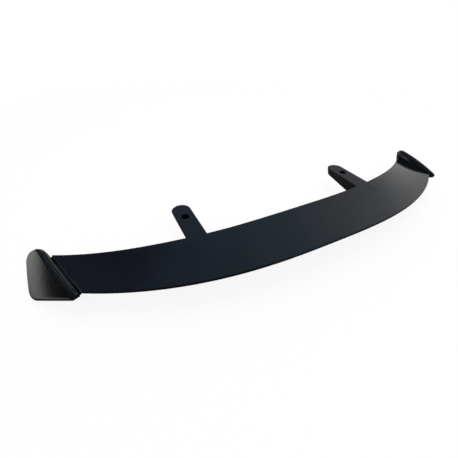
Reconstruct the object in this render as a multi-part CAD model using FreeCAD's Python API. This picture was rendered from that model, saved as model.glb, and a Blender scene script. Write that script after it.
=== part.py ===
import FreeCAD
import Part
import math
import os

# Rear spoiler for a hatchback: one swept blade with two mounting arms, and a canted end plate on
# each end. Millimetres, +X to the car's right, +Y forwards, +Z up. Heights are worked out from the
# arms' flat top. At the end all pieces are lifted, so that the origin lies midway between the two
# bolt holes, level with the seats of the screws at the bottom of their recesses.

V = FreeCAD.Vector

# Blade, in plan: a leading and a trailing edge that both sweep forwards towards the ends
front_half_span = 530.5
rear_half_span = 478.5
leading_mid_y = -80.5
leading_sweep = 107.0
leading_bow = 3.25
trailing_mid_y = -226.0
trailing_sweep = 110.0
trailing_bow = 2.65

# Blade, in height: the edges droop towards the ends
leading_droop = 21.5
leading_droop_power = 1.7
trailing_top_z = 13.0
trailing_droop = 20.0

# Blade section
nose_thickness = 9.0
blade_thickness = 12.5
thickest_share = 0.45
trailing_thickness = 6.0
trailing_round = 2.0
blade_end_radius = 1.5
top_dish = 3.0
section_count = 17

# Mounting arms
hole_spacing = 490.0
arm_width = 47.0
arm_tip_reach = 28.0
arm_root_reach = 105.0
arm_draft = 15.0
arm_edge_radius = 1.5
foot_depth = 26.5
foot_slope = 12.3
recess_diameter = 19.0
recess_depth = 19.5
bolt_hole_diameter = 6.6

# End plates, set out from the front corner of the blade's end face: back along it, outwards and up
groove_width = 3.5
groove_depth = 5.0
root_lead = 8.0
root_lead_height = 3.0
root_lead_depth = 10.0
root_toe_depth = 18.0
root_depth = 11.0
root_radius = 4.0
ridge_offset = 15.0
ridge_height = 24.0
plate_cant = 43.0
plate_edge_thickness = 6.5
plate_crown = 6.0
plate_rim_radius = 5.0
plate_brow_lead = 15.0
plate_brow_radius = 45.0
plate_nose_lead = 52.0
plate_nose_drop = 38.0
plate_nose_radius = 17.0
plate_toe_back = 49.0
plate_toe_drop = 85.0
plate_toe_radius = 39.0
plate_tail = 3.0
plate_tail_drop = 13.0
plate_heel_radius = 10.0
plate_tail_radius = 6.0

# The tongue that seats each end plate in the blade
tongue_length = 90.0
tongue_depth = 14.0
tongue_thickness = 3.5
tongue_clearance = 0.15


def leading_edge(station):
    """Top of the leading edge, at a station from -1 (left end) to 1 (right end)."""
    x = station * front_half_span
    flat = (hole_spacing + arm_width) / 2
    past_arms = max(0.0, abs(x) - flat) / (front_half_span - flat)
    y = leading_mid_y + leading_sweep * abs(station) ** leading_bow
    return V(x, y, -leading_droop * past_arms ** leading_droop_power)


def trailing_edge(station):
    """Top of the trailing edge at the same station."""
    y = trailing_mid_y + trailing_sweep * abs(station) ** trailing_bow
    return V(station * rear_half_span, y, trailing_top_z - trailing_droop * station ** 2)


def arc(first, middle, last):
    return Part.Arc(first, middle, last).toShape()


def blade_section(station, inset=0.0):
    """Closed section in the upright plane through both edges: dished top, round nose and tail.

    An inset draws the whole outline in by that much.
    """
    front = leading_edge(station)
    back = trailing_edge(station)
    level = V(back.x - front.x, back.y - front.y, 0)
    chord = level.Length
    level.normalize()
    rise = back.z - front.z

    def point(along, height):
        return front + level * along + V(0, 0, height)

    nose = nose_thickness / 2
    middle = (nose + chord) / 2
    thickest = thickest_share * chord
    under = rise * thickest / chord - top_dish - blade_thickness
    tail = chord + trailing_round
    top_front = point(nose, -inset)
    top_back = point(chord, rise - inset)
    low_back = point(chord, rise - trailing_thickness + inset)
    low_front = point(nose, inset - nose_thickness)
    return Part.Wire([
        arc(top_front, point(middle, rise * middle / chord - top_dish - inset), top_back),
        arc(top_back, point(tail - inset, rise - trailing_thickness / 2), low_back),
        arc(low_back, point(thickest, under + inset), low_front),
        arc(low_front, point(inset, -nose), top_front),
    ])


def end_run():
    """Level length of the blade's end, and its rise from front to back."""
    run = trailing_edge(1) - leading_edge(1)
    return math.hypot(run.x, run.y), run.z


def end_directions():
    """Level directions at the blade's right end: back along it, and outwards."""
    along = trailing_edge(1) - leading_edge(1)
    along.z = 0
    along.normalize()
    return along, V(0, 0, 1).cross(along)


def end_axes():
    """Axes of the blade's right end face at its front corner: back along it, outwards and up."""
    along, outward = end_directions()
    corner = leading_edge(1) + outward * blade_end_radius
    return FreeCAD.Matrix(
        along.x, outward.x, 0, corner.x,
        along.y, outward.y, 0, corner.y,
        0, 0, 1, corner.z,
        0, 0, 0, 1,
    )


def rounded_end():
    """The last of the blade's right end, rounded off all the way round its section."""
    along, outward = end_directions()
    sections = []
    for degrees in (0, 30, 60, 90):
        turn = math.radians(degrees)
        section = blade_section(1, blade_end_radius * (1 - math.cos(turn)))
        section.translate(outward * blade_end_radius * math.sin(turn))
        sections.append(section)
    return Part.makeLoft(sections, True, True)


def mirrored(shape):
    return shape.mirror(V(0, 0, 0), V(1, 0, 0))


def polygon_prism(points, sweep):
    return Part.Face(Part.makePolygon(points + points[:1])).extrude(sweep)


def rounded_outline(corners):
    """Closed wire with a straight side between corners, each corner given as (point, radius)."""
    arcs = []
    for index, (corner, radius) in enumerate(corners):
        before = corners[index - 1][0] - corner
        after = corners[(index + 1) % len(corners)][0] - corner
        half_angle = before.getAngle(after) / 2
        before.normalize()
        after.normalize()
        bisector = before + after
        bisector.normalize()
        run = radius / math.tan(half_angle)
        dip = radius / math.sin(half_angle) - radius
        arcs.append((corner + before * run, corner + bisector * dip, corner + after * run))
    edges = []
    for index, (start, middle, end) in enumerate(arcs):
        edges.append(Part.LineSegment(arcs[index - 1][2], start).toShape())
        edges.append(arc(start, middle, end))
    return Part.Wire(edges)


def tongue(clearance):
    """Tongue of an end plate in the end's own axes, or with a clearance the slot that it fits."""
    length, rise = end_run()
    start = (length - tongue_length) / 2 - clearance
    stop = (length + tongue_length) / 2 + clearance
    half = tongue_thickness / 2 + clearance
    centre = -(top_dish + blade_thickness) / 2
    inner = -tongue_depth - clearance
    return polygon_prism([
        V(start, inner, rise * start / length + centre - half),
        V(stop, inner, rise * stop / length + centre - half),
        V(stop, inner, rise * stop / length + centre + half),
        V(start, inner, rise * start / length + centre + half),
    ], V(0, tongue_depth + clearance + groove_width, 0))


def stadium(radius, height):
    """Outline of an arm at one height: round at its tip and at its hidden rear end."""
    tip = V(radius, arm_tip_reach, height)
    rear = V(-radius, -arm_root_reach, height)
    tip_left = V(-radius, arm_tip_reach, height)
    rear_right = V(radius, -arm_root_reach, height)
    return Part.Wire([
        arc(tip, V(0, arm_tip_reach + radius, height), tip_left),
        Part.LineSegment(tip_left, rear).toShape(),
        arc(rear, V(0, -arm_root_reach - radius, height), rear_right),
        Part.LineSegment(rear_right, tip).toShape(),
    ])


def mounting_arm():
    """Drafted arm about its bolt hole, cut off below by the sloping foot that sits on the car."""
    draft = math.tan(math.radians(arm_draft))
    slope = math.tan(math.radians(foot_slope))
    radius = arm_width / 2
    reach = arm_root_reach + radius
    deepest = foot_depth + slope * reach
    top = stadium(radius, 0)
    keel = stadium(radius - deepest * draft, -deepest)
    arm = Part.makeLoft([top, keel], True, True)
    rim = [edge for edge in arm.Edges if edge.BoundBox.ZMin > -0.001]
    arm = arm.makeFillet(arm_edge_radius, rim)
    below = polygon_prism([
        V(-arm_width, -2 * reach, -foot_depth - slope * 2 * reach),
        V(-arm_width, 2 * reach, -foot_depth + slope * 2 * reach),
        V(-arm_width, 2 * reach, -2 * deepest),
        V(-arm_width, -2 * reach, -2 * deepest),
    ], V(2 * arm_width, 0, 0))
    bolt_hole = Part.makeCylinder(bolt_hole_diameter / 2, 2 * deepest, V(0, 0, -2 * deepest))
    recess = Part.makeCylinder(recess_diameter / 2, 2 * recess_depth, V(0, 0, -recess_depth))
    return arm.cut(below), bolt_hole.fuse(recess)


def wing_blade():
    stations = [2 * index / (section_count - 1) - 1 for index in range(section_count)]
    blade = Part.makeLoft([blade_section(station) for station in stations], True, False)
    end = rounded_end()
    blade = blade.fuse([end, mirrored(end)])
    arm, holes = mounting_arm()
    slot = tongue(tongue_clearance).transformed(end_axes())
    place = V(hole_spacing / 2, 0, 0)
    for side in (place, -place):
        blade = blade.fuse(arm.translated(side)).cut(holes.translated(side))
    return blade.cut(slot).cut(mirrored(slot))


def end_neck():
    """The blade's end section run outwards across the groove, which is cut into its top."""
    length, rise = end_run()
    along, outward = end_directions()
    reach = groove_width + root_radius
    neck = Part.Face(blade_section(1)).extrude(outward * reach)
    neck.translate(outward * blade_end_radius)
    groove = polygon_prism([
        V(-length, -reach, -rise - groove_depth),
        V(2 * length, -reach, 2 * rise - groove_depth),
        V(2 * length, -reach, 2 * rise + length),
        V(-length, -reach, -rise + length),
    ], V(0, 3 * reach, 0))
    return neck.cut(groove.transformed(end_axes()))


def right_end_plate():
    """Canted panel with a crowned face and a round rim, drawn in to a root with the neck and tongue."""
    length, rise = end_run()
    cant = math.radians(plate_cant)
    down = V(0, math.sin(cant), -math.cos(cant))
    outward = V(0, math.cos(cant), math.sin(cant))
    ridge = V(0, ridge_offset, ridge_height)
    thickness = plate_edge_thickness + plate_crown
    tail = length + plate_tail

    def on_back(along, drop):
        return ridge - outward * thickness + V(along, 0, 0) + down * drop

    back_of_panel = rounded_outline([
        (on_back(-plate_brow_lead, 0), plate_brow_radius),
        (on_back(-plate_nose_lead, plate_nose_drop), plate_nose_radius),
        (on_back(plate_toe_back, plate_toe_drop), plate_toe_radius),
        (on_back(tail, plate_tail_drop), plate_heel_radius),
        (on_back(tail, 0), plate_tail_radius),
    ])
    panel = Part.Face(back_of_panel).extrude(outward * 2 * thickness)
    half_run = (tail + plate_nose_lead) / 2
    crown_radius = (half_run ** 2 + plate_crown ** 2) / (2 * plate_crown)
    crown_foot = ridge + V(tail - half_run, 0, 0) - outward * crown_radius + down * 2 * plate_toe_drop
    panel = panel.common(Part.makeCylinder(crown_radius, 4 * plate_toe_drop, crown_foot, -down))
    face = max(panel.Faces, key=lambda side: side.CenterOfMass.dot(outward))
    panel = panel.makeFillet(plate_rim_radius, face.Edges)

    def on_root(along, height):
        return V(along, groove_width, rise * along / length + height)

    root = rounded_outline([
        (on_root(-root_lead, root_lead_height), root_radius),
        (on_root(-root_lead, -root_lead_depth), root_radius),
        (on_root(plate_toe_back, -root_toe_depth), root_radius),
        (on_root(length, -root_depth), root_radius),
        (on_root(length, 0), root_radius),
    ])
    block = Part.makeLoft([root, back_of_panel], True, True)
    plate = panel.fuse(block).fuse(tongue(0)).transformed(end_axes())
    return plate.fuse(end_neck())


os.makedirs("parts", exist_ok=True)
right = right_end_plate()
pieces = {
    "wing_blade": wing_blade(),
    "right_end_plate": right,
    "left_end_plate": mirrored(right),
}
for name, solid in pieces.items():
    solid.translate(V(0, 0, recess_depth))
    print(name, solid.isValid(), len(solid.Solids), solid.Volume, solid.BoundBox)
    solid.exportStep("parts/" + name + ".step")
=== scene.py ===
import math

import bpy
from mathutils import Matrix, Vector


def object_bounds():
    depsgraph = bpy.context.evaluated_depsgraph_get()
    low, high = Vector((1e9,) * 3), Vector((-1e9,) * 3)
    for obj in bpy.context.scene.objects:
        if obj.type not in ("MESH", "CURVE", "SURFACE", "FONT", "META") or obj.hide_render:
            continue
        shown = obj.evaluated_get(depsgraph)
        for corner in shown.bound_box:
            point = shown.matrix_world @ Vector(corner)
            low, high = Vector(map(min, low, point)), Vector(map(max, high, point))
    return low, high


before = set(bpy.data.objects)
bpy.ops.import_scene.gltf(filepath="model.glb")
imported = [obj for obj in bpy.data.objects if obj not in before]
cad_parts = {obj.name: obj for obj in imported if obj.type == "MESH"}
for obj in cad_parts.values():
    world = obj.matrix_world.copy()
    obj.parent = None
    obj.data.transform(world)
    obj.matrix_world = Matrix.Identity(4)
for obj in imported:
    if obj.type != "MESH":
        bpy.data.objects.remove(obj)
cad_low, cad_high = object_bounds()
bpy.ops.object.select_all(action="DESELECT")


# The blade and its two mounting arms are one hollow plastic moulding. It is flatted, sprayed black
# and lacquered to a high gloss, then bolted down through the recesses in the arms. A painted
# highlight runs along the two end edges as a thin lighter band.

class Shade:
    """A socket in a shader tree. Arithmetic on it adds Math nodes, and node() adds any other."""

    def __init__(self, tree, socket=None):
        self.tree = tree
        self.socket = socket

    def node(self, kind, settings=None, sockets=None, output=0):
        added = self.tree.nodes.new(kind)
        for name, value in (settings or {}).items():
            if name == "stops":
                ramp = added.color_ramp.elements
                while len(ramp) < len(value):
                    ramp.new(1)
                for stop, (position, colour) in zip(ramp, value):
                    stop.position = position
                    stop.color = colour
            else:
                setattr(added, name, value)
        for name, value in (sockets or {}).items():
            if isinstance(value, Shade):
                self.tree.links.new(value.socket, added.inputs[name])
            else:
                added.inputs[name].default_value = value
        return Shade(self.tree, added.outputs[output] if len(added.outputs) else None)

    def maths(self, operation, first, second=0.0):
        return self.node("ShaderNodeMath", {"operation": operation}, {0: first, 1: second})

    def parts(self):
        """The three numbers of a vector."""
        return [self.node("ShaderNodeSeparateXYZ", {}, {0: self}, axis) for axis in range(3)]

    def __add__(self, other):
        return self.maths("ADD", self, other)

    def __sub__(self, other):
        return self.maths("SUBTRACT", self, other)

    def __rsub__(self, other):
        return self.maths("SUBTRACT", other, self)

    def __mul__(self, other):
        return self.maths("MULTIPLY", self, other)

    def __truediv__(self, other):
        return self.maths("DIVIDE", self, other)

    __radd__ = __add__
    __rmul__ = __mul__


def blank_material(name):
    material = bpy.data.materials.new(name)
    material.use_nodes = True
    material.node_tree.nodes.clear()
    return material


def object_place(shade):
    """The place on the piece, in metres in the part's frame."""
    return shade.node("ShaderNodeTexCoord", output="Object")


def noise(place, size, detail):
    """Smooth noise from 0 to 1, with lumps about that many metres apart."""
    return place.node("ShaderNodeTexNoise", {}, {
        "Vector": place, "Scale": 1 / size, "Detail": detail})


def step(value, low, high):
    """0 where the value is under low, 1 where it is over high, and a smooth rise between."""
    return value.node("ShaderNodeMapRange", {"interpolation_type": "SMOOTHSTEP"}, {
        "Value": value, "From Min": low, "From Max": high})


def blend(factor, first, second):
    """Colour mix: the first colour where the factor is 0, and the second where it is 1."""
    return factor.node("ShaderNodeMix", {"data_type": "RGBA"}, {
        0: factor, 6: first, 7: second}, 2)


MOTTLE_LEVELS = (0.35, 0.65)
DUSTY_LEVELS = (0.42, 0.62)
SPECK_SIZE = 0.0011
SPECK_LEVELS = (0.735, 0.79)
DUST_GREY = (0.045, 0.044, 0.042, 1)
DUST_COVER = 0.35


def mottled_black(place, mottle, black, other_black):
    """The sprayed colour, and where fine dust lies on it."""
    specks = noise(place, SPECK_SIZE, 1.0)
    dust = step(specks, *SPECK_LEVELS) * step(mottle, *DUSTY_LEVELS)
    sprayed = blend(step(mottle, *MOTTLE_LEVELS), black, other_black)
    return blend(dust * DUST_COVER, sprayed, DUST_GREY), dust


LACQUER_IOR = 1.5
PEEL_DEPTH = 0.0004


def lacquer(colour, roughness, peel, peel_strength, edge_radius, edge_samples):
    """Gloss coat with a faint orange peel, which rounds the edges of the moulding a little."""
    soft_edge = colour.node("ShaderNodeBevel", {"samples": edge_samples}, {"Radius": edge_radius})
    bump = peel.node("ShaderNodeBump", {}, {
        "Height": peel, "Strength": peel_strength, "Distance": PEEL_DEPTH, "Normal": soft_edge})
    coat = colour.node("ShaderNodeBsdfPrincipled", {}, {
        "Base Color": colour, "Roughness": roughness, "IOR": LACQUER_IOR, "Normal": bump})
    coat.node("ShaderNodeOutputMaterial", {}, {"Surface": coat})


BLADE_BLACK = (0.0024, 0.0027, 0.0034, 1)
BLADE_BLUE_BLACK = (0.0034, 0.0038, 0.0048, 1)
BLADE_MOTTLE_SIZE = 0.055
BLADE_ROUGHNESS = 0.055
BLADE_HAZE_SIZE = 0.018
BLADE_HAZE = 0.05
BLADE_DUST_ROUGHNESS = 0.25
BLADE_PEEL_SIZE = 0.0032
BLADE_PEEL_STRENGTH = 0.05
BLADE_EDGE_RADIUS = 0.0015
BLADE_EDGE_SAMPLES = 8

blade_paint = blank_material("blade_gloss_black")
start = Shade(blade_paint.node_tree)
place = object_place(start)
x, y, z = place.parts()
half_x = x.maths("ABSOLUTE", x)
mottle = noise(place, BLADE_MOTTLE_SIZE, 3.0)
colour, dust = mottled_black(place, mottle, BLADE_BLACK, BLADE_BLUE_BLACK)

# A painted highlight: a lighter band about a millimetre wide, just inside the edge of each end
END_CORNER = (0.53191, 0.02599)
END_OUTWARD = (0.9394, -0.3428)
HIGHLIGHT_BAND_INNER = (-0.0024, -0.0010)
HIGHLIGHT_BAND_OUTER = (-0.0006, -0.0002)
PAINTED_HIGHLIGHT_GREY = (0.030, 0.031, 0.034, 1)
past_end = (half_x - END_CORNER[0]) * END_OUTWARD[0] + (y - END_CORNER[1]) * END_OUTWARD[1]
painted_highlight = step(past_end, *HIGHLIGHT_BAND_INNER) * (1 - step(past_end, *HIGHLIGHT_BAND_OUTER))
colour = blend(painted_highlight, colour, PAINTED_HIGHLIGHT_GREY)

# The recesses for the screws stay in dull primer
BOLT_HOLES_X = 0.245
RECESS_EDGE = (0.0095, 0.0101)
RECESS_TOP = (0.012, 0.018)
PRIMER_BLACK = (0.0030, 0.0030, 0.0032, 1)
PRIMER_ROUGHNESS = 0.45
from_hole = half_x - BOLT_HOLES_X
hole_distance = x.maths("SQRT", from_hole * from_hole + y * y)
in_recess = (1 - step(hole_distance, *RECESS_EDGE)) * (1 - step(z, *RECESS_TOP))
colour = blend(in_recess, colour, PRIMER_BLACK)

haze = noise(place, BLADE_HAZE_SIZE, 4.0)
roughness = (BLADE_ROUGHNESS + haze * BLADE_HAZE + dust * BLADE_DUST_ROUGHNESS
             + in_recess * PRIMER_ROUGHNESS)
peel = noise(place, BLADE_PEEL_SIZE, 1.0)
lacquer(colour, roughness, peel, BLADE_PEEL_STRENGTH, BLADE_EDGE_RADIUS, BLADE_EDGE_SAMPLES)

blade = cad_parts["wing_blade"]
blade.data.materials.clear()
blade.data.materials.append(blade_paint)


# The end plates are a mirrored pair of moulded plastic panels, canted outwards. Each has a tongue
# that is glued in a slot in the blade's end, and is sprayed in a slightly duller black than the
# blade.

PLATE_BLACK = (0.0034, 0.0037, 0.0040, 1)
PLATE_WARM_BLACK = (0.0046, 0.0048, 0.0044, 1)
PLATE_MOTTLE_SIZE = 0.04
PLATE_ROUGHNESS = 0.11
PLATE_HAZE_SIZE = 0.015
PLATE_HAZE = 0.05
PLATE_DUST_ROUGHNESS = 0.2
PLATE_PEEL_SIZE = 0.0026
PLATE_PEEL_STRENGTH = 0.08
PLATE_EDGE_RADIUS = 0.005
PLATE_EDGE_SAMPLES = 16

plate_paint = blank_material("end_plate_satin_black")
start = Shade(plate_paint.node_tree)
place = object_place(start)
mottle = noise(place, PLATE_MOTTLE_SIZE, 3.0)
colour, dust = mottled_black(place, mottle, PLATE_BLACK, PLATE_WARM_BLACK)
haze = noise(place, PLATE_HAZE_SIZE, 4.0)
roughness = PLATE_ROUGHNESS + haze * PLATE_HAZE + dust * PLATE_DUST_ROUGHNESS
peel = noise(place, PLATE_PEEL_SIZE, 2.0)
lacquer(colour, roughness, peel, PLATE_PEEL_STRENGTH, PLATE_EDGE_RADIUS, PLATE_EDGE_SAMPLES)

for side in ("left_end_plate", "right_end_plate"):
    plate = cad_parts[side]
    plate.data.materials.clear()
    plate.data.materials.append(plate_paint)


# The spoiler stands on a plain pale floor that runs out to a white horizon and keeps a soft shadow.
# The gloss black mirrors it as a pale ring: a painted shadow under the part, dark behind and far
# away.

FLOOR_HALF_SIZE = 30.0
FLOOR_GAP = 0.0005
FLOOR_PALE = (0.88, 0.88, 0.88, 1)
WHITE = (1, 1, 1, 1)
SHADOW_SHARE = 0.10
SHADOW_FADE = (0.8, 2.2)
MIRRORED_PALE = (0.91, 0.95, 0.91, 1)
MIRRORED_DARK = (0.02, 0.02, 0.022, 1)
RING_CENTRE = (0.10, -0.10)
RING_REACH = (0.71, 0.60)
RING_INNER = (0.95, 1.25)
RING_OUTER = (1.35, 3.6)
BEHIND_Y = (-0.10, -0.04)


def ray_kind(shade, kind):
    """1 for rays of that kind, and 0 for all others."""
    return shade.node("ShaderNodeLightPath", {}, {}, kind)


def backdrop_rays(shade):
    """1 for the rays that see the backdrop: the camera's, and mirrored or refracted ones."""
    total = (ray_kind(shade, "Is Camera Ray") + ray_kind(shade, "Is Glossy Ray")
             + ray_kind(shade, "Is Transmission Ray"))
    return total.maths("MINIMUM", total, 1.0)


bpy.ops.mesh.primitive_plane_add(size=2 * FLOOR_HALF_SIZE, location=(0, 0, cad_low[2] - FLOOR_GAP))
floor = bpy.context.object
floor.name = "studio_floor"
floor_paint = blank_material("floor_white")
start = Shade(floor_paint.node_tree)
place = object_place(start)
x, y, z = place.parts()
across = (x - RING_CENTRE[0]) / RING_REACH[0]
along = (y - RING_CENTRE[1]) / RING_REACH[1]
away = place.maths("SQRT", across * across + along * along)
# Painted shadow: for mirrored rays the floor is dark under the part, and also behind it and far
# away
dark = (1 - step(away, *RING_INNER)) + step(away, *RING_OUTER) + (1 - step(y, *BEHIND_Y))
mirrored = blend(dark, MIRRORED_PALE, MIRRORED_DARK)
backdrop = blend(ray_kind(start, "Is Glossy Ray"), WHITE, mirrored)
from_middle = place.node("ShaderNodeVectorMath", {"operation": "LENGTH"}, {0: place}, 1)
shadow = (1 - step(from_middle, *SHADOW_FADE)) * SHADOW_SHARE
lit = start.node("ShaderNodeBsdfDiffuse", {}, {"Color": FLOOR_PALE})
glow = start.node("ShaderNodeEmission", {}, {"Color": backdrop, "Strength": 1.0})
mixed = start.node("ShaderNodeMixShader", {}, {
    0: backdrop_rays(start) * (1 - shadow), 1: lit, 2: glow})
start.node("ShaderNodeOutputMaterial", {}, {"Surface": mixed})
floor.data.materials.append(floor_paint)


# Soft studio light: an even pale world and one broad lamp overhead for the shadow. The gloss black
# mirrors a white wall to the part's right, which fades to a dim blue-grey on the left. The foot of
# the walls ahead and on the left is dark, and so is the ceiling behind.

SOFT_LIGHT = (0.75, 0.75, 0.75, 1)
WALL_DIRECTION = (0.981, 0.173, 0.087)
WALL_STOPS = [
    (0.00, (0.080, 0.092, 0.165, 1)),
    (0.12, (0.085, 0.100, 0.170, 1)),
    (0.25, (0.150, 0.215, 0.330, 1)),
    (0.50, (0.205, 0.275, 0.390, 1)),
    (0.70, (0.235, 0.340, 0.405, 1)),
    (0.80, (0.345, 0.360, 0.400, 1)),
    (0.88, (0.430, 0.445, 0.470, 1)),
    (0.95, (0.770, 0.775, 0.770, 1)),
    (1.00, (1.000, 1.000, 1.000, 1)),
]
ROOM_DARK = (0.006, 0.006, 0.008, 1)
AHEAD = (0.55, 0.80)
AHEAD_DARKNESS = 0.8
LEFT = (-0.5, -0.2)
FOOT_OF_WALL = (0.08, 0.35)
BEHIND = (-0.35, -0.05)
CEILING = (0.5, 0.7)
CEILING_DARKNESS = 0.7

scene = bpy.context.scene
scene.view_settings.view_transform = "Standard"
world = bpy.data.worlds.new("studio")
scene.world = world
world.use_nodes = True
world.node_tree.nodes.clear()
start = Shade(world.node_tree)
direction = start.node("ShaderNodeTexCoord", output="Generated")
x, y, z = direction.parts()
towards_wall = direction.node("ShaderNodeVectorMath", {"operation": "DOT_PRODUCT"}, {
    0: direction, 1: WALL_DIRECTION}, 1)
room = towards_wall.node("ShaderNodeValToRGB", {"stops": WALL_STOPS}, {"Fac": towards_wall})
dark_side = y.maths("MAXIMUM", step(y, *AHEAD) * AHEAD_DARKNESS, 1 - step(x, *LEFT))
room = blend(dark_side * (1 - step(z, *FOOT_OF_WALL)), room, ROOM_DARK)
dark_ceiling = (1 - step(y, *BEHIND)) * step(z, *CEILING) * CEILING_DARKNESS
room = blend(dark_ceiling, room, ROOM_DARK)
seen = blend(ray_kind(start, "Is Camera Ray"), room, WHITE)
colour = blend(backdrop_rays(start), SOFT_LIGHT, seen)
sky = start.node("ShaderNodeBackground", {}, {"Color": colour, "Strength": 1.0})
start.node("ShaderNodeOutputWorld", {}, {"Surface": sky})

LAMP_PLACE = (0.3, 0.2, 2.2)
LAMP_WIDTH = 2.4
LAMP_WATTS = 28.0

lamp_data = bpy.data.lights.new("overhead_lamp", "AREA")
lamp_data.shape = "DISK"
lamp_data.size = LAMP_WIDTH
lamp_data.energy = LAMP_WATTS
lamp = bpy.data.objects.new("overhead_lamp", lamp_data)
lamp.location = LAMP_PLACE
lamp.visible_glossy = False
scene.collection.objects.link(lamp)


# The camera stands behind the car's left side and looks down on the blade, as in the photograph.
# Its place, angles and focal length were fitted to both halves of the spoiler in the photograph.

CAMERA_PLACE = (-0.3797, -0.4925, 0.4031)
CAMERA_AZIMUTH = math.radians(-26.88)
CAMERA_ELEVATION = math.radians(40.05)
CAMERA_ROLL = math.radians(0.48)
SENSOR_WIDTH = 36.0
IMAGE_SIDE = 458
FOCAL_PIXELS = 270.0
NEAREST_SEEN = 0.01

camera_data = bpy.data.cameras.new("camera")
camera_data.sensor_width = SENSOR_WIDTH
camera_data.lens = SENSOR_WIDTH * FOCAL_PIXELS / IMAGE_SIDE
camera_data.clip_start = NEAREST_SEEN
camera = bpy.data.objects.new("camera", camera_data)
turn = (Matrix.Rotation(CAMERA_AZIMUTH, 4, "Z")
        @ Matrix.Rotation(math.pi / 2 - CAMERA_ELEVATION, 4, "X")
        @ Matrix.Rotation(CAMERA_ROLL, 4, "Z"))
camera.matrix_world = Matrix.Translation(CAMERA_PLACE) @ turn
scene.collection.objects.link(camera)
scene.camera = camera
